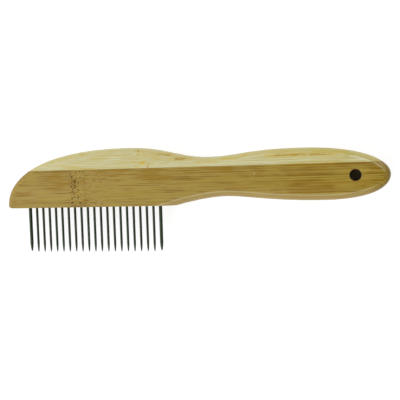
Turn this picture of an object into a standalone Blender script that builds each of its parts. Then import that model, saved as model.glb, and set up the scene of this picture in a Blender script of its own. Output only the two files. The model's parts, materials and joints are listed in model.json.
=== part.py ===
"""Bamboo-handled grooming comb whose steel pins turn freely in a nylon rail.

The comb lies on its back face. The design axes are:
  X  along the tooth edge, from the first pin (X = 0) towards the tip of the handle
  Y  square to X in the plane of the comb, from the tooth edge (Y = 0) up through the
     head, so the pins point along -Y
  Z  through the thickness, from the back face (Z = 0) to the front face
Sizes are in millimetres. SHIFT moves the design so that the origin is the middle of
the comb's footprint.
"""
import math

import bmesh
import bpy
from mathutils import Vector
from mathutils.geometry import interpolate_bezier

MM = 0.001

# ---------------------------------------------------------------- driving dimensions
THICKNESS = 15.0
GLUE_LINE = 21.7             # height of the joint between the two bamboos
GAP = 0.3                    # between pieces that lie against each other

SLIM_PIN_COUNT = 19
SLIM_PITCH = 4.0             # between neighbouring slim pins
END_PITCH = 4.2              # from each end pin to the slim pin beside it

# The outline, clockwise from the nose, which drops straight to the tooth edge. Each
# knot has its place, the handle towards the knot before it and the one towards the next.
NOSE = ((-11.8, 1.8), (0.0, 0.0), (0.0, 14.0))
CROWN = ((61.0, 33.4), (-55.5, 0.0), (25.0, 0.0))
NECK_TOP = ((109.8, 26.85), (-19.0, 0.0), (17.5, 0.0))
GRIP_TOP = ((161.0, 30.4), (-31.5, 0.0), (36.0, 0.0))
TIP = ((209.0, 14.9), (0.0, 6.5), (0.0, -7.1))
GRIP_BOTTOM = ((173.5, 1.35), (25.7, 0.0), (-29.8, 0.0))
NECK_BOTTOM = ((120.1, 4.57), (11.4, 0.0), (-17.0, 0.0))
RUN_OUT = ((72.0, -6.0), (8.0, 3.0), (0.0, 0.0))
KNOTS = (NOSE, CROWN, NECK_TOP, GRIP_TOP, TIP, GRIP_BOTTOM, NECK_BOTTOM, RUN_OUT)
CURVE_STEPS = 200            # fine steps along each stretch, before thinning out
MOST_TURN = math.radians(3.5)  # between the points that are kept
MOST_RUN = 9.0

# The rounded border leaves the face at a slight angle, so its edge shows as a line.
BORDER_WIDTH = 3.6
BORDER_START = math.radians(15)
BORDER_STEPS = 6

NOSE_CORNER = 1.6            # radius where the nose meets the tooth edge
NOSE_CORNER_STEPS = 5

HOLE_CENTRE = (190.4, 14.8)
HOLE_RADIUS = 3.0
HOLE_SIDES = 40

# ---------------------------------------------------------------- rail and pins
RAIL_WIDTH = 6.0             # through the thickness
RAIL_DEPTH = 9.0             # up from the tooth edge
RAIL_MARGIN = 3.1            # beyond each end pin
RAIL_END_STEPS = 12
CAP_DEPTH = 1.8
SEAT_HEIGHT = 7.4            # floor of the recess that a pin's head turns in
BORE_CLEARANCE = 0.08        # between the corners of a pin and the flats of its bore
BORE_SIDES = 12
RECESS_CLEARANCE = 0.3       # around a pin's head

PIN_SIDES = 8
HEAD_HEIGHT = 1.0
POINT_LENGTH = 4.8
POINT_POWER = 0.35           # the lower, the blunter the point
POINT_STEPS = 4

# radius at the tooth edge, radius where the point starts, radius of head, bare length
SLIM_PIN = (0.73, 0.70, 1.2, 26.8)
END_PIN = (0.99, 0.95, 1.5, 26.3)

# ---------------------------------------------------------------- worked out
LAST_PIN = 2 * END_PITCH + (SLIM_PIN_COUNT - 1) * SLIM_PITCH
MIDDLE = THICKNESS / 2
SLOT_DEPTH = RAIL_DEPTH + CAP_DEPTH + 2 * GAP
HEAD_BOTTOM = SEAT_HEIGHT + GAP
SHIFT = Vector((-(NOSE[0][0] + TIP[0][0]) / 2, (SLIM_PIN[3] - CROWN[0][1]) / 2, 0.0))

DARK_BAMBOO = ("dark_bamboo", (0.36, 0.24, 0.075), 0.45, 0.0)
PALE_BAMBOO = ("pale_bamboo", (0.60, 0.51, 0.24), 0.45, 0.0)
NYLON = ("brown_nylon", (0.09, 0.055, 0.03), 0.5, 0.0)
STEEL = ("pin_steel", (0.20, 0.21, 0.19), 0.3, 1.0)


def clear_scene():
    for thing in list(bpy.data.objects):
        bpy.data.objects.remove(thing)


def make_material(name, colour, roughness, metallic):
    """One Principled material, made once for each finish."""
    found = bpy.data.materials.get(name)
    if found:
        return found
    material = bpy.data.materials.new(name)
    material.use_nodes = True
    shader = material.node_tree.nodes["Principled BSDF"]
    shader.inputs["Base Color"].default_value = (*colour, 1.0)
    shader.inputs["Roughness"].default_value = roughness
    shader.inputs["Metallic"].default_value = metallic
    return material


def to_mesh(bm, name):
    """A mesh in metres from a bmesh drawn in millimetres, with its faces out."""
    bmesh.ops.scale(bm, vec=(MM, MM, MM), verts=bm.verts)
    bmesh.ops.recalc_face_normals(bm, faces=bm.faces)
    mesh = bpy.data.meshes.new(name)
    bm.to_mesh(mesh)
    bm.free()
    return mesh


def add_object(name, mesh, finish, place=(0.0, 0.0, 0.0)):
    """An object of the comb, its origin at a place given in design millimetres."""
    thing = bpy.data.objects.new(name, mesh)
    thing.location = (Vector(place) + SHIFT) * MM
    bpy.context.collection.objects.link(thing)
    if finish and not mesh.materials:
        mesh.materials.append(make_material(*finish))
    return thing


def add_cutter(name, mesh):
    cutter = add_object(name, mesh, None)
    cutter.hide_render = True
    cutter.display_type = "WIRE"
    return cutter


def cut(thing, cutter):
    modifier = thing.modifiers.new(cutter.name, "BOOLEAN")
    modifier.operation = "DIFFERENCE"
    modifier.solver = "EXACT"
    modifier.object = cutter


# ---------------------------------------------------------------- general shapes
def skin_rings(bm, rings):
    """Close a stack of rings, each a list of points, into one solid."""
    loops = [[bm.verts.new(point) for point in ring] for ring in rings]
    count = len(loops[0])
    for lower, upper in zip(loops, loops[1:]):
        for i in range(count):
            after = (i + 1) % count
            bm.faces.new((lower[i], lower[after], upper[after], upper[i]))
    bm.faces.new(loops[0])
    bm.faces.new(loops[-1])


def circle(radius, sides, height, centre=(0.0, 0.0)):
    turns = [math.tau * i / sides for i in range(sides)]
    return [(centre[0] + radius * math.cos(a), centre[1] + radius * math.sin(a), height)
            for a in turns]


def stadium(first, last, half_width, level):
    """A slot outline with round ends, lying across Y at the given level."""
    points = []
    for centre, start in ((last, -math.pi / 2), (first, math.pi / 2)):
        for step in range(RAIL_END_STEPS + 1):
            angle = start + math.pi * step / RAIL_END_STEPS
            points.append((centre + half_width * math.cos(angle), level,
                           MIDDLE + half_width * math.sin(angle)))
    return points


def stadium_bar(bm, margin, half_width, bottom, top):
    """A bar with round ends that reaches a margin beyond both end pins."""
    first = half_width - margin
    last = LAST_PIN + margin - half_width
    skin_rings(bm, [stadium(first, last, half_width, level) for level in (bottom, top)])


# ---------------------------------------------------------------- bamboo handle
def fine_curve():
    """The outline in short steps, from the nose round to the end of the run-out."""
    points = []
    for (start, _, leaving), (end, arriving, _) in zip(KNOTS, KNOTS[1:]):
        knot = Vector(start)
        target = Vector(end)
        points += interpolate_bezier(knot, knot + Vector(leaving),
                                     target + Vector(arriving), target, CURVE_STEPS)[:-1]
    points.append(Vector(KNOTS[-1][0]))
    return points


def thin_out(points):
    """Keep a point where the curve has turned or run far enough since the last one."""
    kept = [points[0]]
    heading = points[1] - points[0]
    for before, point in zip(points, points[1:]):
        turned = heading.angle(point - before)
        if turned > MOST_TURN or (point - kept[-1]).length > MOST_RUN:
            kept.append(before)
            heading = point - before
    kept.append(points[-1])
    return kept


def outward_normals(points):
    """Normals of a closed clockwise outline, each from the two points beside it."""
    normals = []
    count = len(points)
    for i in range(count):
        along = points[(i + 1) % count] - points[i - 1]
        normals.append(Vector((-along.y, along.x)).normalized())
    return normals


def border_profile():
    """Inset and depth of the rounded border, from the face down to the side wall."""
    radius = BORDER_WIDTH / (1 - math.sin(BORDER_START))
    profile = []
    for step in range(BORDER_STEPS + 1):
        angle = BORDER_START + (math.pi / 2 - BORDER_START) * step / BORDER_STEPS
        inset = radius * (1 - math.sin(angle))
        depth = radius * (math.cos(BORDER_START) - math.cos(angle))
        profile.append((inset, depth))
    return profile


def blank():
    """The glued blank, rounded all round and still uncut below the tooth edge."""
    outline = thin_out(fine_curve())
    outline.append(Vector((NOSE[0][0], RUN_OUT[0][1])))
    normals = outward_normals(outline)
    profile = border_profile()
    levels = profile + [(inset, THICKNESS - depth) for inset, depth in reversed(profile)]
    rings = []
    for inset, level in levels:
        ring = [point - normal * inset for point, normal in zip(outline, normals)]
        rings.append([(point.x, point.y, level) for point in ring])
    bm = bmesh.new()
    skin_rings(bm, rings)
    return bm


def saw(bm, height, keep_above):
    """Cut straight across at a height and close the cut."""
    geometry = bm.verts[:] + bm.edges[:] + bm.faces[:]
    result = bmesh.ops.bisect_plane(bm, geom=geometry, plane_co=(0.0, height, 0.0),
                                    plane_no=(0.0, 1.0, 0.0),
                                    clear_inner=keep_above, clear_outer=not keep_above)
    edges = [item for item in result["geom_cut"] if isinstance(item, bmesh.types.BMEdge)]
    bmesh.ops.edgeloop_fill(bm, edges=edges)


def round_nose_corner(bm):
    """Round the corner between the nose and the tooth edge, through the thickness."""
    reach = NOSE[0][0] + BORDER_WIDTH + 0.1
    corner = []
    for edge in bm.edges:
        ends = [vert.co for vert in edge.verts]
        on_edge = all(abs(end.y) < 0.001 and end.x < reach for end in ends)
        if on_edge:
            corner.append(edge)
    bmesh.ops.bevel(bm, geom=corner, offset=NOSE_CORNER, segments=NOSE_CORNER_STEPS,
                    profile=0.5, affect="EDGES")


def hanging_hole_cutter():
    bm = bmesh.new()
    skin_rings(bm, [circle(HOLE_RADIUS, HOLE_SIDES, level, HOLE_CENTRE)
                    for level in (-1.0, THICKNESS + 1.0)])
    return add_cutter("hanging_hole_cutter", to_mesh(bm, "hanging_hole_cutter"))


def rail_slot_cutter():
    bm = bmesh.new()
    stadium_bar(bm, RAIL_MARGIN + GAP, RAIL_WIDTH / 2 + GAP, -1.0, SLOT_DEPTH)
    return add_cutter("rail_slot_cutter", to_mesh(bm, "rail_slot_cutter"))


def make_dark_bamboo():
    bm = blank()
    saw(bm, 0.0, keep_above=True)
    saw(bm, GLUE_LINE - GAP / 2, keep_above=False)
    round_nose_corner(bm)
    body = add_object("dark_bamboo_body", to_mesh(bm, "dark_bamboo_body"), DARK_BAMBOO)
    cut(body, rail_slot_cutter())
    cut(body, hanging_hole_cutter())
    return body


def make_pale_bamboo():
    bm = blank()
    saw(bm, GLUE_LINE + GAP / 2, keep_above=True)
    return add_object("pale_bamboo_strip", to_mesh(bm, "pale_bamboo_strip"), PALE_BAMBOO)


# ---------------------------------------------------------------- rail and its cap
def pin_places():
    """Distance of each pin from the first along the tooth edge, and its sizes."""
    places = [(0.0, END_PIN)]
    places += [(END_PITCH + i * SLIM_PITCH, SLIM_PIN) for i in range(SLIM_PIN_COUNT)]
    places.append((LAST_PIN, END_PIN))
    return places


def bore_rings(centre, shank_radius, head_radius):
    """A stepped bore: narrow for the shank, wider above the seat for the head."""
    narrow = (shank_radius + BORE_CLEARANCE) / math.cos(math.pi / BORE_SIDES)
    wide = head_radius + RECESS_CLEARANCE
    steps = ((narrow, -1.0), (narrow, SEAT_HEIGHT), (wide, SEAT_HEIGHT),
             (wide, RAIL_DEPTH + 1.0))
    rings = []
    for radius, level in steps:
        ring = circle(radius, BORE_SIDES, level, (centre, MIDDLE))
        rings.append([(x, height, y) for x, y, height in ring])
    return rings


def make_rail():
    bm = bmesh.new()
    stadium_bar(bm, RAIL_MARGIN, RAIL_WIDTH / 2, 0.0, RAIL_DEPTH)
    rail = add_object("pin_rail", to_mesh(bm, "pin_rail"), NYLON)
    bores = bmesh.new()
    for centre, (shank_radius, _, head_radius, _) in pin_places():
        skin_rings(bores, bore_rings(centre, shank_radius, head_radius))
    cut(rail, add_cutter("bore_cutter", to_mesh(bores, "bore_cutter")))
    return rail


def make_rail_cap():
    bm = bmesh.new()
    bottom = RAIL_DEPTH + GAP
    stadium_bar(bm, RAIL_MARGIN, RAIL_WIDTH / 2, bottom, bottom + CAP_DEPTH)
    return add_object("rail_cap", to_mesh(bm, "rail_cap"), NYLON)


# ---------------------------------------------------------------- pins
def pin_mesh(name, sizes):
    """A headed pin about its own Z axis, the tooth edge at Z = 0, the point down."""
    root_radius, taper_radius, head_radius, reach = sizes
    profile = [(head_radius, HEAD_BOTTOM + HEAD_HEIGHT), (head_radius, HEAD_BOTTOM),
               (root_radius, HEAD_BOTTOM), (root_radius, 0.0)]
    for step in range(POINT_STEPS, 0, -1):
        share_to_go = (step / POINT_STEPS) ** 2
        radius = taper_radius * share_to_go ** POINT_POWER
        profile.append((radius, share_to_go * POINT_LENGTH - reach))
    profile[-1] = (profile[-1][0], -reach)
    bm = bmesh.new()
    skin_rings(bm, [circle(radius, PIN_SIDES, height) for radius, height in profile])
    mesh = to_mesh(bm, name)
    mesh.shade_smooth()
    mesh.set_sharp_from_angle(angle=math.radians(50))
    return mesh


def make_pins():
    """The pins, each with its origin on its own axis at the tooth edge."""
    meshes = {SLIM_PIN: pin_mesh("slim_pin", SLIM_PIN), END_PIN: pin_mesh("end_pin", END_PIN)}
    for number, (place, sizes) in enumerate(pin_places(), start=1):
        pin = add_object(f"pin_{number:02d}", meshes[sizes], STEEL, (place, 0.0, MIDDLE))
        pin.rotation_euler = (-math.pi / 2, 0.0, 0.0)


clear_scene()
make_dark_bamboo()
make_pale_bamboo()
make_rail()
make_rail_cap()
make_pins()
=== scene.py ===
"""Looks of a bamboo grooming comb with freely turning steel pins, built on its frame."""
import json
import math

import bmesh
import bpy
from mathutils import Matrix, Quaternion, Vector

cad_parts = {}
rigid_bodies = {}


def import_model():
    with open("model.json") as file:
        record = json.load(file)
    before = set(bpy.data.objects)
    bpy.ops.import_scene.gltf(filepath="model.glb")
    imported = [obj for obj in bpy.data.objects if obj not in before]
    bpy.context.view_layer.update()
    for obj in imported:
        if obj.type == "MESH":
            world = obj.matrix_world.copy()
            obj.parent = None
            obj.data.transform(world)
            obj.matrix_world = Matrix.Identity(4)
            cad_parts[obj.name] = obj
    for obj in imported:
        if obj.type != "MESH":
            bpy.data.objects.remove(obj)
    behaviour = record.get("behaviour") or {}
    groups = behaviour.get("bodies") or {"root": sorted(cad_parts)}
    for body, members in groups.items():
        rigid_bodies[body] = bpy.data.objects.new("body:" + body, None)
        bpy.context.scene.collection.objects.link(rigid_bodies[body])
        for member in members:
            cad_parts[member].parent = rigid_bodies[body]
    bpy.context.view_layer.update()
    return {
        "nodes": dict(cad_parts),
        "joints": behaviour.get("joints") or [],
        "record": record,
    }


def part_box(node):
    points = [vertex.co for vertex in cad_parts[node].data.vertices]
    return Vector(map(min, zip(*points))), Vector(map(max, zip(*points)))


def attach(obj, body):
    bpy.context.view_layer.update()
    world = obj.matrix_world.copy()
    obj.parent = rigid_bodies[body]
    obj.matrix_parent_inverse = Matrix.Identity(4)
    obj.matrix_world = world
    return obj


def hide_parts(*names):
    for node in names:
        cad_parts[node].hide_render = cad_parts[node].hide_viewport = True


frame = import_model()

MM = 0.001

# ---------------------------------------------------------------- places, from the frame
dark_low, dark_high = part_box("dark_bamboo_body")
pale_low, pale_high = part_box("pale_bamboo_strip")
rail_low, rail_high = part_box("pin_rail")
hole_low, hole_high = frame["record"]["physics"]["openings"][0]["box_m"]

JOINTS = frame["joints"]
HANDLE_BODY = JOINTS[0]["parent"]
FACE = dark_high.z
BACK = dark_low.z
MIDDLE = (FACE + BACK) / 2
TOOTH_EDGE = rail_low.y
GLUE_LINE = (dark_high.y + pale_low.y) / 2
RAIL_HALF = (rail_high.z - rail_low.z) / 2
HOLE = (Vector(hole_low) + Vector(hole_high)) / 2


def from_hole(point):
    """Distance of a point from the axis of the hanging hole."""
    return math.hypot(point.x - HOLE.x, point.y - HOLE.y)


dark_verts = frame["nodes"]["dark_bamboo_body"].data.vertices
HOLE_RADIUS = min(from_hole(vert.co) for vert in dark_verts)

# The grain and the camera are placed in millimetres from the first pin: x along the comb,
# y up from the tooth edge, z from the back face.
ORIGIN = Vector((JOINTS[0]["pos_m"][0], TOOTH_EDGE, BACK))
HOLE_MM = (HOLE - ORIGIN) / MM
HOLE_RADIUS_MM = HOLE_RADIUS / MM


# ---------------------------------------------------------------- node helpers
def feed(tree, socket, value):
    """Link an output to a socket, or set the socket's own value."""
    if isinstance(value, bpy.types.NodeSocket):
        tree.links.new(value, socket)
    else:
        socket.default_value = value


def calc(tree, operation, first, second=0.0):
    """The result of a math node on two values."""
    node = tree.nodes.new("ShaderNodeMath")
    node.operation = operation
    feed(tree, node.inputs[0], first)
    feed(tree, node.inputs[1], second)
    return node.outputs[0]


def times(tree, first, second):
    return calc(tree, "MULTIPLY", first, second)


def total(tree, *values):
    result = values[0]
    for value in values[1:]:
        result = calc(tree, "ADD", result, value)
    return result


def ease(tree, value, start, end, at_start=0.0, at_end=1.0):
    """Smooth step from at_start to at_end as the value goes from start to end."""
    node = tree.nodes.new("ShaderNodeMapRange")
    node.interpolation_type = "SMOOTHSTEP"
    feed(tree, node.inputs["Value"], value)
    node.inputs["From Min"].default_value = start
    node.inputs["From Max"].default_value = end
    node.inputs["To Min"].default_value = at_start
    node.inputs["To Max"].default_value = at_end
    return node.outputs["Result"]


def bell(tree, value, centre, half_width):
    """1 at the centre, falling smoothly to 0 at half_width from it."""
    offset = calc(tree, "ABSOLUTE", calc(tree, "SUBTRACT", value, centre))
    return ease(tree, offset, 0.0, half_width, 1.0, 0.0)


def split(tree, vector):
    node = tree.nodes.new("ShaderNodeSeparateXYZ")
    feed(tree, node.inputs[0], vector)
    return node.outputs


def joined(tree, x, y, z):
    node = tree.nodes.new("ShaderNodeCombineXYZ")
    for socket, value in zip(node.inputs, (x, y, z)):
        feed(tree, socket, value)
    return node.outputs[0]


def scaled(tree, vector, factors, shift=(0.0, 0.0, 0.0)):
    """A vector times a factor along each axis, then shifted."""
    node = tree.nodes.new("ShaderNodeVectorMath")
    node.operation = "MULTIPLY_ADD"
    feed(tree, node.inputs[0], vector)
    node.inputs[1].default_value = factors
    node.inputs[2].default_value = shift
    return node.outputs[0]


def noise(tree, vector, per_mm, detail=2.0, roughness=0.5, seed=0.0):
    """Noise centred on 0; per_mm is its scale along each axis."""
    node = tree.nodes.new("ShaderNodeTexNoise")
    node.inputs["Scale"].default_value = 1.0
    node.inputs["Detail"].default_value = detail
    node.inputs["Roughness"].default_value = roughness
    moved = scaled(tree, vector, per_mm, (seed, 2 * seed, 3 * seed))
    tree.links.new(moved, node.inputs["Vector"])
    return calc(tree, "SUBTRACT", node.outputs["Fac"], 0.5)


def paint(red, green, blue):
    """Linear colour, with alpha, of a colour given as display values from 0 to 255."""
    shares = [value / 255 for value in (red, green, blue)]
    return (*[share / 12.92 if share < 0.04045 else ((share + 0.055) / 1.055) ** 2.4
              for share in shares], 1.0)


MIX_FIRST_COLOUR = 6         # sockets of a mix node, whose names its data types share
MIX_SECOND_COLOUR = 7
MIX_COLOUR_RESULT = 2


def mixed(tree, factor, first, second):
    """The first colour at factor 0, the second at factor 1."""
    node = tree.nodes.new("ShaderNodeMix")
    node.data_type = "RGBA"
    feed(tree, node.inputs["Factor"], factor)
    feed(tree, node.inputs[MIX_FIRST_COLOUR], first)
    feed(tree, node.inputs[MIX_SECOND_COLOUR], second)
    return node.outputs[MIX_COLOUR_RESULT]


def bump(tree, height, strength, distance, below=None):
    """A bumped normal, on top of another one if that is given."""
    node = tree.nodes.new("ShaderNodeBump")
    node.inputs["Strength"].default_value = strength
    node.inputs["Distance"].default_value = distance
    feed(tree, node.inputs["Height"], height)
    if below:
        tree.links.new(below, node.inputs["Normal"])
    return node.outputs[0]


def new_material(name, origin=Vector()):
    """A Principled material, its tree, its shader, the place in millimetres and the normal."""
    material = bpy.data.materials.new(name)
    material.use_nodes = True
    tree = material.node_tree
    coordinates = tree.nodes.new("ShaderNodeTexCoord")
    place = scaled(tree, coordinates.outputs["Object"], (1 / MM,) * 3, -origin / MM)
    return material, tree, tree.nodes["Principled BSDF"], place, coordinates.outputs["Normal"]


# ---------------------------------------------------------------- bamboo
# What the keys of a look say, where their names don't:
#   head, grip            ground colour at either end of the comb
#   border, rim, haze     painted sheen on the border, painted highlight line, sheen strength
#   edge, edge_from, edge_share
#                         painted shade on the side walls: its colour, the upright part
#                         of the normal where it sets in, and its share on the wall itself
#   contrast, lines       strength of all fibres, and of the long lines at the grip
#   wander                how far the fibres stray sideways
#   layers, ridge         strength of the contour lines, and of the knuckle's ridge
#   knuckle               x of the culm's knuckle, mm
#   blotch                colour and strength of the blotches beside the knuckle
#   pores                 mm between pores, their radius as a share of that, then mm from
#                         the knuckle to their middle and mm that they reach to each side
#   speckle               0 for even streaks, 1 for streaks broken into specks
#   streaks               first x, last x, height y, half width, all mm, strength, colour
DARK = {
    "name": "dark_bamboo",
    "seed": 3.0,
    "head": paint(157, 133, 69),
    "grip": paint(131, 101, 4),
    "brown": paint(120, 88, 20),
    "fibre": paint(120, 88, 18),
    "golden": paint(142, 106, 2),
    "light": paint(162, 140, 58),
    "pore": paint(40, 24, 8),
    "border": paint(165, 143, 88),
    "rim": paint(190, 176, 130),
    "edge": paint(112, 96, 44),
    "edge_from": 0.92,
    "edge_share": 0.55,
    "contrast": 1.0,
    "lines": 5.0,
    "haze": 0.65,
    "wander": 1.0,
    "layers": 0.60,
    "knuckle": 33.2,
    "blotch": ("brown", 0.5),
    "ridge": 1.0,
    "pores": (1.35, 0.34, -1.0, 4.0),
    "speckle": 0.0,
    "streaks": (
        (2.0, 34.0, 21.2, 0.55, 0.55, "brown"),
        (146.0, 204.0, 20.9, 1.0, 0.85, "golden"),
        (176.0, 204.0, 21.0, 0.7, 0.80, "brown"),
        (158.0, 207.0, 15.3, 0.45, 0.55, "brown"),
        (157.0, 202.0, 11.1, 0.75, 0.80, "golden"),
        (150.0, 188.0, 6.6, 0.60, 0.70, "golden"),
        (132.0, 167.0, 12.5, 0.55, 0.60, "golden"),
        (55.0, 86.0, 11.9, 0.50, 0.60, "brown"),
        (87.0, 110.0, 14.8, 0.50, 0.60, "brown"),
        (118.0, 134.0, 9.1, 0.60, 0.70, "golden"),
        (58.0, 90.0, 19.6, 0.45, 0.55, "light"),
        (0.0, 30.0, 16.1, 0.45, 0.50, "light"),
        (-10.0, -4.0, 4.0, 1.3, 0.60, "golden"),
        (135.7, 136.4, 17.2, 1.1, 0.80, "rim"),
    ),
}
PALE = {
    "name": "pale_bamboo",
    "seed": 41.0,
    "head": paint(195, 187, 136),
    "grip": paint(182, 168, 86),
    "brown": paint(164, 128, 36),
    "fibre": paint(182, 154, 66),
    "golden": paint(202, 174, 62),
    "light": paint(208, 205, 166),
    "pore": paint(134, 98, 40),
    "border": paint(196, 190, 140),
    "rim": paint(214, 209, 172),
    "edge": paint(160, 154, 106),
    "edge_from": 0.70,
    "edge_share": 0.35,
    "contrast": 0.60,
    "lines": 3.0,
    "haze": 0.20,
    "wander": 2.5,
    "layers": 0.35,
    "knuckle": 72.6,
    "blotch": ("golden", 0.9),
    "ridge": 0.0,
    "pores": (2.0, 0.22, 0.0, 5.0),
    "speckle": 1.0,
    "streaks": (
        (76.0, 93.0, 28.8, 2.0, 0.60, "golden"),
        (80.0, 90.0, 28.8, 1.0, 0.80, "brown"),
        (86.0, 103.0, 26.3, 2.0, 0.60, "golden"),
        (90.0, 99.0, 26.3, 1.1, 1.00, "brown"),
        (100.0, 118.0, 24.2, 1.2, 0.60, "golden"),
        (116.0, 129.0, 25.8, 1.0, 0.70, "golden"),
        (136.0, 188.0, 26.3, 1.7, 0.70, "golden"),
        (142.0, 182.0, 26.4, 0.9, 0.80, "brown"),
        (50.0, 196.0, 22.3, 0.50, 0.70, "light"),
    ),
}
FIBRE_BUMP = 0.08 * MM
PORE_BUMP = 0.3 * MM
# Painted shade on the hanging hole's bore and its broken edges.
PAINTED_BORE_SHADE = paint(78, 60, 36)

# Scale of the grain's noises along x, y and z, per millimetre.
DRIFT = (0.012, 0.06, 0.06)
CURL = (0.10, 0.15, 0.15)
DASHES = (0.065, 2.1, 2.1)
LINES = (0.003, 1.8, 1.8)
HAIRS = (0.10, 3.6, 3.6)
BANDS = (0.004, 0.22, 0.22)

# Places along the comb and lengths, in millimetres. A pair of places is where something
# starts to come in and where it is full, unless it says otherwise.
HEAD_FIBRES = 30.0           # short dashes up to here
GRIP_FIBRES = 150.0          # long lines from here on
GRIP_COLOUR = (100.0, 205.0)
SWIRL = 4.5                  # how far the fibres bend beside the knuckle
SWIRL_OFFSET = 7.0           # from the knuckle to the middle of the swirl
SWIRL_REACH = 18.0
BLOTCH_REACH = 8.0
RIDGE = (1.2, 2.8)           # from the knuckle, and half width
FURROW = (4.6, 1.4)
LAYER_PITCH = 1.9            # through the thickness
# The painted sheen on the border's underside and on its top near the tip.
UNDERSIDE_START = (68.0, 80.0)
UNDERSIDE_END = (205.0, 196.0)
SHOULDER_START = (184.0, 194.0)
SHOULDER_END = (207.5, 203.5)
# How far out from the bore's wall the painted shade on the hole starts, and where it is full.
BORE_SHADE_REACH = (0.38, 0.18)        # from the bore's wall


def bent_grain(tree, look, place):
    """The place, moved sideways so that the fibres wander, and swirl past the knuckle."""
    x, y, z = split(tree, place)
    drift = noise(tree, place, DRIFT, 1.0, seed=look["seed"])
    curl = noise(tree, place, CURL, 1.0, seed=look["seed"] + 1)
    swirl = times(tree, curl, bell(tree, x, look["knuckle"] + SWIRL_OFFSET, SWIRL_REACH))
    shift = total(tree, times(tree, drift, look["wander"]), times(tree, swirl, SWIRL))
    return joined(tree, x, calc(tree, "ADD", y, shift), calc(tree, "ADD", z, shift))


def fibre_tone(tree, look, bent):
    """The fibres, short dashes at the head and long lines at the grip.

    Returns their tone, about 0 in dark fibres and 1 in light ones, and their relief.
    """
    seed = look["seed"]
    x, _, _ = split(tree, bent)
    dashes = noise(tree, bent, DASHES, 1.0, 0.5, seed + 2)
    lines = noise(tree, bent, LINES, 1.0, 0.5, seed + 3)
    hairs = noise(tree, bent, HAIRS, 2.0, 0.5, seed + 4)
    bands = noise(tree, bent, BANDS, 1.0, 0.5, seed + 5)
    dash_share = ease(tree, x, HEAD_FIBRES, GRIP_FIBRES, 2.7, 1.0)
    line_share = ease(tree, x, HEAD_FIBRES, GRIP_FIBRES, 2.0, look["lines"])
    spread = total(tree, times(tree, dashes, dash_share), times(tree, lines, line_share),
                   times(tree, hairs, 1.7), times(tree, bands, 0.3))
    tone = calc(tree, "ADD", times(tree, spread, look["contrast"]), 0.5)
    return tone, total(tree, dashes, times(tree, hairs, 0.6))


def add_streaks(tree, look, place, bent, colour):
    """Single long streaks at chosen places, broken up along their length."""
    x, _, _ = split(tree, place)
    _, y, _ = split(tree, bent)
    breaks = noise(tree, bent, (0.30, 1.8, 1.8), 2.0, 0.6, look["seed"] + 6)
    even = ease(tree, breaks, -0.16, 0.08, 1.0 - 0.9 * look["speckle"], 1.0)
    for first, last, height, half_width, strength, paint_name in look["streaks"]:
        length = bell(tree, x, (first + last) / 2, (last - first) / 2)
        along = ease(tree, length, 0.0, 0.25)
        across = bell(tree, y, height, half_width)
        factor = times(tree, times(tree, along, across), times(tree, even, strength))
        colour = mixed(tree, factor, colour, look[paint_name])
    return colour


def add_layers(tree, look, place, colour):
    """The edges of the cut layers, which show as contour lines on the rounded border."""
    _, _, z = split(tree, place)
    lean = noise(tree, place, (0.035, 0.10, 0.10), 2.0, seed=look["seed"] + 7)
    level = total(tree, z, times(tree, lean, 3.0 * LAYER_PITCH * look["layers"]))
    rings = calc(tree, "SINE", times(tree, level, math.tau / LAYER_PITCH))
    patches = noise(tree, place, (0.12, 0.5, 0.5), 2.0, seed=look["seed"] + 8)
    shown = times(tree, ease(tree, patches, -0.20, 0.10, 0.25, 1.0), look["layers"])
    dark = times(tree, ease(tree, rings, 0.2, 1.0), shown)
    light = times(tree, ease(tree, rings, -0.2, -1.0), shown)
    return mixed(tree, light, mixed(tree, dark, colour, look["golden"]), look["light"])


def add_knuckle(tree, look, place, bent, colour):
    """The culm's knuckle: blotches, and a pale ridge with a dark line after it."""
    x, _, _ = split(tree, place)
    centre = look["knuckle"]
    blotch_name, strength = look["blotch"]
    blotches = noise(tree, bent, (0.22, 0.55, 0.55), 2.0, seed=look["seed"] + 9)
    near = bell(tree, x, centre, BLOTCH_REACH)
    brown = times(tree, ease(tree, blotches, 0.0, 0.2), near)
    colour = mixed(tree, times(tree, brown, strength), colour, look[blotch_name])
    uneven = calc(tree, "ADD", x, times(tree, blotches, 3.0))
    for (offset, half_width), share, paint_name in ((RIDGE, 0.35, "light"),
                                                    (FURROW, 0.22, "brown")):
        line = bell(tree, uneven, centre + offset, half_width)
        colour = mixed(tree, times(tree, line, share * look["ridge"]), colour,
                       look[paint_name])
    return colour


def add_pores(tree, look, place, colour):
    """A band of pores with stained wood around them, and where the pores are."""
    x, _, _ = split(tree, place)
    cell, size, shift, reach = look["pores"]
    blotch_name, strength = look["blotch"]
    cells = tree.nodes.new("ShaderNodeTexVoronoi")
    cells.inputs["Scale"].default_value = 1.0
    spread = scaled(tree, place, (1 / cell, 1 / cell, 0.14), (0.0, look["seed"], 0.0))
    tree.links.new(spread, cells.inputs["Vector"])
    near = cells.outputs["Distance"]
    band = ease(tree, bell(tree, x, look["knuckle"] + shift, reach), 0.0, 0.2)
    pores = times(tree, ease(tree, near, size, size * 0.6), band)
    halo = times(tree, ease(tree, near, 0.5, 0.15), band)
    colour = mixed(tree, times(tree, halo, 0.5 * strength), colour, look[blotch_name])
    return mixed(tree, times(tree, pores, 0.92), colour, look["pore"]), pores


def painted_sheen_places(tree, place, sideways):
    """Where the border gets painted sheen: its underside, and its top close to the tip."""
    x, _, _ = split(tree, place)
    along_underside = times(tree, ease(tree, x, *UNDERSIDE_START),
                            ease(tree, x, *UNDERSIDE_END))
    underside = times(tree, ease(tree, sideways, 0.0, -0.25), along_underside)
    along_shoulder = times(tree, ease(tree, x, *SHOULDER_START),
                           ease(tree, x, *SHOULDER_END))
    shoulder = times(tree, ease(tree, sideways, 0.0, 0.25), along_shoulder)
    return total(tree, underside, shoulder)


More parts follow.
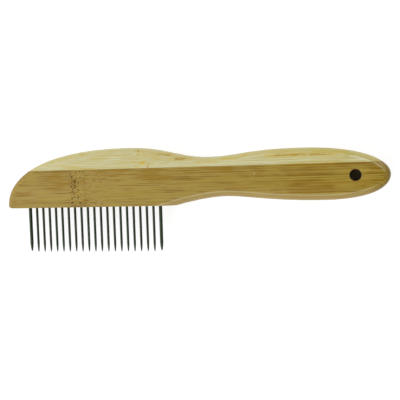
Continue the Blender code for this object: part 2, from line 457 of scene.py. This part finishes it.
def add_border(tree, look, place, normal, colour):
    """The border: painted sheen where it tilts, a painted highlight line where it leaves the
    face, and painted shade on the side walls.
    """
    _, sideways, upright = split(tree, normal)
    upright = calc(tree, "ABSOLUTE", upright)
    sheen_mask = painted_sheen_places(tree, place, sideways)
    # Painted sheen: a hazy lighter colour on the tilted border, on its underside and near the
    # tip.
    hazy_sheen = times(tree, ease(tree, upright, 0.97, 0.86), look["haze"])
    colour = mixed(tree, times(tree, hazy_sheen, sheen_mask), colour, look["border"])
    patches = noise(tree, place, (0.06, 0.2, 0.2), 2.0, seed=look["seed"] + 10)
    patchy_sheen = times(tree, sheen_mask, ease(tree, patches, -0.2, 0.05, 0.6, 1.0))
    # Painted highlight: a light line where the border leaves the face, patchy along it.
    rim = times(tree, bell(tree, upright, 0.93, 0.06), 0.70)
    colour = mixed(tree, times(tree, rim, patchy_sheen), colour, look["rim"])
    # Painted shade: the side walls darker, less so under the painted sheen.
    edge = ease(tree, upright, look["edge_from"], 0.10, 0.0, look["edge_share"])
    away_from_sheen = calc(tree, "SUBTRACT", 1.0, times(tree, sheen_mask, 0.8))
    return mixed(tree, times(tree, edge, away_from_sheen), colour, look["edge"])


def from_hole_axis(tree, place):
    """Distance from the axis of the hanging hole, in millimetres."""
    x, y, _ = split(tree, place)
    across = calc(tree, "SUBTRACT", x, HOLE_MM.x)
    up = calc(tree, "SUBTRACT", y, HOLE_MM.y)
    return calc(tree, "SQRT", total(tree, times(tree, across, across), times(tree, up, up)))


def add_painted_bore_shade(tree, place, colour):
    """The bore and its broken edges, darkened with painted shade."""
    starts, full = BORE_SHADE_REACH
    bore = ease(tree, from_hole_axis(tree, place), HOLE_RADIUS_MM + starts,
                HOLE_RADIUS_MM + full)
    return mixed(tree, bore, colour, PAINTED_BORE_SHADE)


def bamboo_material(look):
    """Satin-lacquered bamboo."""
    material, tree, shader, place, normal = new_material(look["name"], ORIGIN)
    x, _, _ = split(tree, place)
    bent = bent_grain(tree, look, place)
    grip_share = ease(tree, x, *GRIP_COLOUR)
    tone, relief = fibre_tone(tree, look, bent)

    colour = mixed(tree, grip_share, look["head"], look["grip"])
    colour = mixed(tree, ease(tree, tone, 0.52, -0.05, 0.0, 0.95), colour, look["golden"])
    colour = mixed(tree, ease(tree, tone, 0.20, -0.30, 0.0, 0.90), colour, look["fibre"])
    colour = mixed(tree, ease(tree, tone, 0.50, 1.05, 0.0, 0.90), colour, look["light"])
    colour = add_layers(tree, look, place, colour)
    colour = add_streaks(tree, look, place, bent, colour)
    colour = add_knuckle(tree, look, place, bent, colour)
    colour, pores = add_pores(tree, look, place, colour)
    colour = add_border(tree, look, place, normal, colour)
    colour = add_painted_bore_shade(tree, place, colour)
    tree.links.new(colour, shader.inputs["Base Color"])

    rough = total(tree, 0.42, times(tree, relief, 0.25), times(tree, pores, 0.3))
    tree.links.new(rough, shader.inputs["Roughness"])
    shader.inputs["Specular IOR Level"].default_value = 0.2
    shader.inputs["Coat Weight"].default_value = 0.05
    shader.inputs["Coat Roughness"].default_value = 0.3
    fibres = bump(tree, relief, 0.35, FIBRE_BUMP)
    pitted = bump(tree, times(tree, pores, -1.0), 0.8, PORE_BUMP, fibres)
    tree.links.new(pitted, shader.inputs["Normal"])
    return material


# ---------------------------------------------------------------- steel, nylon, light table
STEEL_DARK = paint(52, 60, 44)
STEEL_LIGHT = paint(72, 82, 66)
STEEL_GROUND = paint(80, 88, 86)
STEEL_TINT = paint(96, 100, 92)
POINT_GRIND = (-20.5, -24.0)  # mm from the tooth edge, where it starts and is full
STEEL_BUMP = 0.02 * MM
NYLON_DARK = paint(72, 54, 38)
NYLON_LIGHT = paint(98, 76, 55)
NYLON_BUMP = 0.03 * MM
TABLE_DARK = paint(136, 136, 136)
TABLE_LIGHT = paint(144, 144, 144)
TABLE_GLOW = 0.83
HOLE_SHADE = paint(196, 180, 132)
HOLE_MASK = (0.5, 2.0)       # mm beyond the hole, where the mask ends and the glow is full


def steel_material():
    """Drawn steel wire, ground at the point, a little mottled."""
    material, tree, shader, place, _ = new_material("pin_steel")
    _, _, height = split(tree, place)
    drawn = noise(tree, place, (5.0, 5.0, 0.10), 3.0, 0.6)
    ground = noise(tree, place, (0.8, 0.8, 7.0), 2.0, 0.5, 5.0)
    mottle = noise(tree, place, (0.7, 0.7, 0.35), 3.0, 0.6, 9.0)
    point = ease(tree, height, *POINT_GRIND)
    tone = total(tree, 0.5, times(tree, drawn, 1.4), times(tree, mottle, 1.2))
    colour = mixed(tree, tone, STEEL_DARK, STEEL_LIGHT)
    colour = mixed(tree, times(tree, point, 0.3), colour, STEEL_GROUND)
    tree.links.new(colour, shader.inputs["Base Color"])
    shader.inputs["Metallic"].default_value = 1.0
    shader.inputs["Specular Tint"].default_value = STEEL_TINT
    rough = total(tree, 0.36, times(tree, drawn, 0.2), times(tree, mottle, 0.2))
    tree.links.new(rough, shader.inputs["Roughness"])
    marks = total(tree, drawn, times(tree, ground, point))
    tree.links.new(bump(tree, marks, 0.25, STEEL_BUMP), shader.inputs["Normal"])
    return material


def nylon_material():
    """Brown moulded nylon with a fine mould grain."""
    material, tree, shader, place, _ = new_material("rail_nylon")
    mottle = noise(tree, place, (0.22, 0.22, 0.22), 3.0)
    grain = noise(tree, place, (4.0, 4.0, 4.0), 2.0, 0.5, 3.0)
    flow = noise(tree, place, (0.05, 0.9, 0.9), 2.0, 0.5, 7.0)
    tone = total(tree, 0.5, mottle, times(tree, flow, 0.8))
    colour = mixed(tree, tone, NYLON_DARK, NYLON_LIGHT)
    tree.links.new(colour, shader.inputs["Base Color"])
    rough = total(tree, 0.46, times(tree, mottle, 0.2), times(tree, grain, 0.1))
    tree.links.new(rough, shader.inputs["Roughness"])
    tree.links.new(bump(tree, grain, 0.35, NYLON_BUMP), shader.inputs["Normal"])
    return material


def light_table_material():
    """A pale table that glows a little, masked where it would show through the hole."""
    material, tree, shader, place, _ = new_material("light_table", ORIGIN)
    shade = noise(tree, place, (0.02, 0.02, 0.02), 3.0)
    colour = mixed(tree, total(tree, 0.5, shade), TABLE_DARK, TABLE_LIGHT)
    ends, full = HOLE_MASK
    clear = ease(tree, from_hole_axis(tree, place), HOLE_RADIUS_MM + ends,
                 HOLE_RADIUS_MM + full)
    tree.links.new(mixed(tree, clear, HOLE_SHADE, colour), shader.inputs["Base Color"])
    tree.links.new(times(tree, clear, TABLE_GLOW), shader.inputs["Emission Strength"])
    shader.inputs["Emission Color"].default_value = (1.0, 1.0, 1.0, 1.0)
    shader.inputs["Roughness"].default_value = 0.9
    shader.inputs["Specular IOR Level"].default_value = 0.1
    return material


# ---------------------------------------------------------------- meshes
WELD = 0.002 * MM            # vertices closer than this are one
CLOSE = 0.02 * MM            # places closer than this are the same
FLAT_BELOW = math.radians(0.2)
SMOOTH_BELOW = math.radians(20)


def copy_of_node(node):
    """A CAD node's mesh as a bmesh, its split vertices joined and its flat faces whole."""
    bm = bmesh.new()
    bm.from_mesh(frame["nodes"][node].data)
    bmesh.ops.remove_doubles(bm, verts=bm.verts, dist=WELD)
    bmesh.ops.dissolve_limit(bm, angle_limit=FLAT_BELOW, verts=bm.verts, edges=bm.edges)
    return bm


def put_in_order(parts, place):
    """Sort vertices or faces by place, because a bevel leaves them in an order that varies."""
    ranked = sorted(parts, key=lambda part: tuple(place(part)))
    rank = {part: number for number, part in enumerate(ranked)}
    parts.sort(key=rank.get)


def to_mesh(bm, name, material, smooth_below=SMOOTH_BELOW):
    """A mesh with its faces out, shaded smooth where it turns less than smooth_below."""
    bmesh.ops.recalc_face_normals(bm, faces=bm.faces)
    put_in_order(bm.verts, lambda vert: vert.co)
    put_in_order(bm.faces, lambda face: face.calc_center_median())
    mesh = bpy.data.meshes.new(name)
    bm.to_mesh(mesh)
    bm.free()
    mesh.shade_smooth()
    mesh.set_sharp_from_angle(angle=smooth_below)
    mesh.materials.append(material)
    return mesh


def add_piece(name, mesh, body, node):
    """Show a mesh as a piece that rides on a body and stands for a CAD node."""
    piece = bpy.data.objects.new(name, mesh)
    bpy.context.scene.collection.objects.link(piece)
    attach(piece, body)
    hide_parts(node)
    return piece


# ---------------------------------------------------------------- handle
HAIRLINE = 0.01 * MM         # half of what is left open in the glue joint
SLOT_FIT = 0.08 * MM         # left around the rail in its slot
SLOT_REACH = 1 * MM          # the slot's wall lies within this of the rail
SLOT_TOP = rail_high.y + 5 * MM  # a height above the roof of the slot
EDGE_BREAK = 0.30 * MM
HOLE_BREAK = 0.35 * MM
BREAK_SEGMENTS = 3


def glue_shut(bm, joint_height, side):
    """Bring a piece's glued face to the middle of the joint; side is 1 above it, -1 below."""
    for vert in bm.verts:
        if abs(vert.co.y - joint_height) < CLOSE:
            vert.co.y = GLUE_LINE + side * HAIRLINE


def fit_slot(bm):
    """Draw the walls of the rail's slot in to the rail."""
    first = rail_low.x + RAIL_HALF
    last = rail_high.x - RAIL_HALF
    for vert in bm.verts:
        axis = Vector((min(max(vert.co.x, first), last), vert.co.y, MIDDLE))
        outward = vert.co - axis
        if vert.co.y < SLOT_TOP and outward.length < RAIL_HALF + SLOT_REACH:
            vert.co = axis + outward.normalized() * (RAIL_HALF + SLOT_FIT)


def break_edges(bm):
    """Take the sharpness off the tooth edge and the rims of the hole."""
    tooth = []
    rims = []
    for edge in bm.edges:
        ends = [vert.co for vert in edge.verts]
        level = abs(ends[0].z - ends[1].z) < CLOSE
        on_face = all(MIDDLE - abs(end.z - MIDDLE) < BACK + CLOSE for end in ends)
        if level and all(abs(from_hole(end) - HOLE_RADIUS) < CLOSE for end in ends):
            rims.append(edge)
        elif on_face and all(abs(end.y - TOOTH_EDGE) < CLOSE for end in ends):
            tooth.append(edge)
    bmesh.ops.bevel(bm, geom=rims, offset=HOLE_BREAK, segments=BREAK_SEGMENTS,
                    profile=0.5, affect="EDGES")
    bmesh.ops.bevel(bm, geom=tooth, offset=EDGE_BREAK, segments=BREAK_SEGMENTS,
                    profile=0.5, affect="EDGES", clamp_overlap=False)


def make_handle():
    """The two bamboos: their CAD nodes, glued shut, with the dark one's edges broken."""
    dark = copy_of_node("dark_bamboo_body")
    glue_shut(dark, dark_high.y, -1)
    fit_slot(dark)
    break_edges(dark)
    add_piece("dark_bamboo", to_mesh(dark, "dark_bamboo", bamboo_material(DARK)),
              HANDLE_BODY, "dark_bamboo_body")
    pale = copy_of_node("pale_bamboo_strip")
    glue_shut(pale, pale_low.y, 1)
    add_piece("pale_bamboo", to_mesh(pale, "pale_bamboo", bamboo_material(PALE)),
              HANDLE_BODY, "pale_bamboo_strip")


# ---------------------------------------------------------------- turned shapes
def skin(bm, rings):
    """Close a row of rings, each a list of points, into a solid."""
    rings = [[bm.verts.new(point) for point in ring] for ring in rings]
    for upper, lower in zip(rings, rings[1:]):
        for i in range(len(upper)):
            after = (i + 1) % len(upper)
            bm.faces.new((upper[i], upper[after], lower[after], lower[i]))
    bm.faces.new(rings[0])
    bm.faces.new(rings[-1])


def circle(radius, height, sides):
    return [Vector((radius * math.cos(turn), radius * math.sin(turn), height))
            for turn in (math.tau * side / sides for side in range(sides))]


# ---------------------------------------------------------------- pins
PIN_SIDES = 24
PIN_SMOOTH_BELOW = math.radians(40)
POINT_POWER = 0.35           # the lower, the blunter the point
POINT_STEPS = 12
HEAD_EDGE = 0.15 * MM
LEVEL_STEP = 0.01 * MM       # rings of a CAD pin closer than this are one level


def pin_levels(node):
    """Height of each ring of a CAD pin above the tooth edge, with its radii, top first."""
    low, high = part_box(node)
    axis_x = (low.x + high.x) / 2
    levels = {}
    for vert in frame["nodes"][node].data.vertices:
        level = round((vert.co.y - TOOTH_EDGE) / LEVEL_STEP) * LEVEL_STEP
        radius = math.hypot(vert.co.x - axis_x, vert.co.z - MIDDLE)
        levels.setdefault(level, []).append(radius)
    return sorted(levels.items(), reverse=True)


def pin_sizes(node):
    """Head radius, head top, head bottom, root radius, waist radius, waist height, tip."""
    (head_top, head), (head_bottom, _), (_, root), (waist_height, waist), *rest = \
        pin_levels(node)
    return max(head), head_top, head_bottom, max(root), max(waist), waist_height, rest[-1][0]


def pin_profile(node):
    """Radius and height of each ring of a pin, from the top of its head to its tip."""
    head, head_top, head_bottom, root, waist, waist_height, tip = pin_sizes(node)
    profile = [(head - HEAD_EDGE, head_top), (head, head_top - HEAD_EDGE),
               (head, head_bottom + HEAD_EDGE), (head - HEAD_EDGE, head_bottom),
               (root, head_bottom), (root, 0.0)]
    for step in range(POINT_STEPS, 0, -1):
        share_to_go = (step / POINT_STEPS) ** 2
        profile.append((waist * share_to_go ** POINT_POWER,
                        tip + share_to_go * (waist_height - tip)))
    profile[-1] = (profile[-1][0], tip)
    return profile


def make_pins():
    """The pins, which turn about their own Z axes; pins of one kind share a mesh."""
    steel = steel_material()
    meshes = {}
    for joint in JOINTS:
        node = joint["child"]    # a pin's body and its node share a name
        low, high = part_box(node)
        kind = round((high.x - low.x) / MM, 1)
        if kind not in meshes:
            bm = bmesh.new()
            skin(bm, [circle(radius, height, PIN_SIDES)
                      for radius, height in pin_profile(node)])
            meshes[kind] = to_mesh(bm, f"pin_{kind}_mm_head", steel, PIN_SMOOTH_BELOW)
        pin = add_piece(f"steel_{node}", meshes[kind], joint["child"], node)
        pin.location = joint["pos_m"]
        pin.rotation_euler = (-math.pi / 2, 0.0, 0.0)


# ---------------------------------------------------------------- rail
RAIL_END_STEPS = 24
RAIL_CHAMFER = 0.25 * MM
RAIL_SMOOTH_BELOW = math.radians(30)
BORE_SIDES = 24
BORE_FIT = 0.08 * MM
COUNTERSINK = 0.35 * MM
RECESS_FIT = 0.3 * MM
RUN_OUT = 1 * MM             # how far the bores' cutter runs past the rail


def stadium(half_width, height):
    """The rail's outline at a height above the tooth edge, with round ends."""
    points = []
    for centre_x, start in ((rail_high.x - RAIL_HALF, -math.pi / 2),
                            (rail_low.x + RAIL_HALF, math.pi / 2)):
        for step in range(RAIL_END_STEPS + 1):
            turn = start + math.pi * step / RAIL_END_STEPS
            points.append(Vector((centre_x + half_width * math.cos(turn),
                                  TOOTH_EDGE + height,
                                  MIDDLE + half_width * math.sin(turn))))
    return points


def bore_profile(node):
    """A pin's stepped bore with a countersunk mouth, running out past both faces."""
    head, _, head_bottom, root, *_ = pin_sizes(node)
    depth = rail_high.y - TOOTH_EDGE
    seat = head_bottom - RECESS_FIT
    bore = root + BORE_FIT
    return [(head + RECESS_FIT, depth + RUN_OUT), (head + RECESS_FIT, seat), (bore, seat),
            (bore, COUNTERSINK), (bore + COUNTERSINK + RUN_OUT, -RUN_OUT)]


def carved(mesh, cutter_mesh, name):
    """A mesh less another, as a new mesh."""
    piece = bpy.data.objects.new("blank", mesh)
    cutter = bpy.data.objects.new("cutter", cutter_mesh)
    for thing in (piece, cutter):
        bpy.context.scene.collection.objects.link(thing)
    boolean = piece.modifiers.new("cut", "BOOLEAN")
    boolean.operation = "DIFFERENCE"
    boolean.solver = "EXACT"
    boolean.object = cutter
    result = bpy.data.meshes.new_from_object(
        piece.evaluated_get(bpy.context.evaluated_depsgraph_get()))
    result.name = name
    for thing in (piece, cutter):
        bpy.data.objects.remove(thing)
    return result


def make_rail():
    """The rail with its chamfered edge and pin seats; the cap above it is out of sight."""
    nylon = nylon_material()
    depth = rail_high.y - rail_low.y
    blank = bmesh.new()
    skin(blank, [stadium(RAIL_HALF - RAIL_CHAMFER, 0.0), stadium(RAIL_HALF, RAIL_CHAMFER),
                 stadium(RAIL_HALF, depth)])
    bores = bmesh.new()
    for joint in JOINTS:
        place = Matrix.Translation(joint["pos_m"]) @ Matrix.Rotation(-math.pi / 2, 4, "X")
        skin(bores, [[place @ point for point in circle(radius, height, BORE_SIDES)]
                     for radius, height in bore_profile(joint["child"])])
    rail = carved(to_mesh(blank, "rail_blank", nylon), to_mesh(bores, "bores", nylon),
                  "nylon_rail")
    rail.set_sharp_from_angle(angle=RAIL_SMOOTH_BELOW)
    add_piece("nylon_rail", rail, HANDLE_BODY, "pin_rail")
    cap = frame["nodes"]["rail_cap"].data
    cap.materials.clear()
    cap.materials.append(nylon)


# ---------------------------------------------------------------- studio
CAMERA_PLACE = ORIGIN + Vector((184.36, 28.47, 402.52)) * MM
CAMERA_AIM = ORIGIN + Vector((105.30, 2.97, 15.0)) * MM
CAMERA_ROLL = math.radians(-1.825)
CAMERA_LENS = 63.84
FLOOR_SIZE = 30.0
FLOOR_DROP = 0.05 * MM       # keeps the floor clear of the back face
SUN_SOFTNESS = math.radians(70)
CEILING_TOWARDS = (0.9, 0.0, 1.0)
CEILING_EDGE = (0.35, 0.90)  # cosines of the angle to it, where it sets in and is full
CEILING_GLOW = 0.15


def make_camera():
    """The camera, aimed first and then rolled about its own axis."""
    data = bpy.data.cameras.new("camera")
    data.lens = CAMERA_LENS
    data.clip_start = 0.01
    camera = bpy.data.objects.new("camera", data)
    bpy.context.scene.collection.objects.link(camera)
    back = (CAMERA_PLACE - CAMERA_AIM).normalized()
    right = Vector((0.0, 1.0, 0.0)).cross(back).normalized()
    level = Matrix((right, back.cross(right), back)).transposed().to_quaternion()
    camera.location = CAMERA_PLACE
    camera.rotation_mode = "QUATERNION"
    camera.rotation_quaternion = level @ Quaternion((0.0, 0.0, 1.0), CAMERA_ROLL)
    bpy.context.scene.camera = camera


def add_sun(name, towards, strength):
    """A broad soft light; towards is the direction that it comes from."""
    data = bpy.data.lights.new(name, "SUN")
    data.energy = strength
    data.angle = SUN_SOFTNESS
    light = bpy.data.objects.new(name, data)
    light.rotation_mode = "QUATERNION"
    light.rotation_quaternion = (-Vector(towards)).to_track_quat("-Z", "Y")
    bpy.context.scene.collection.objects.link(light)


def make_world():
    """White all round, with a dim ceiling above the comb, towards the handle's tip."""
    world = bpy.data.worlds.new("studio")
    bpy.context.scene.world = world
    world.use_nodes = True
    tree = world.node_tree
    direction = tree.nodes.new("ShaderNodeTexCoord").outputs["Generated"]
    ceiling = tree.nodes.new("ShaderNodeVectorMath")
    ceiling.operation = "DOT_PRODUCT"
    tree.links.new(direction, ceiling.inputs[0])
    ceiling.inputs[1].default_value = Vector(CEILING_TOWARDS).normalized()
    glow = ease(tree, ceiling.outputs["Value"], *CEILING_EDGE, 1.0, CEILING_GLOW)
    background = tree.nodes["Background"]
    background.inputs["Color"].default_value = (1.0, 1.0, 1.0, 1.0)
    tree.links.new(glow, background.inputs["Strength"])


def make_floor():
    """A light table just below the comb."""
    bm = bmesh.new()
    bmesh.ops.create_grid(bm, x_segments=1, y_segments=1, size=FLOOR_SIZE)
    floor = bpy.data.objects.new("floor", to_mesh(bm, "floor", light_table_material()))
    floor.location.z = BACK - FLOOR_DROP
    bpy.context.scene.collection.objects.link(floor)


make_camera()
make_handle()
make_rail()
make_pins()
make_world()
make_floor()
add_sun("key", (-1.0, -0.7, 1.0), 1.35)
add_sun("fill", (0.9, 0.8, 1.1), 0.6)
bpy.context.scene.view_settings.view_transform = "Standard"
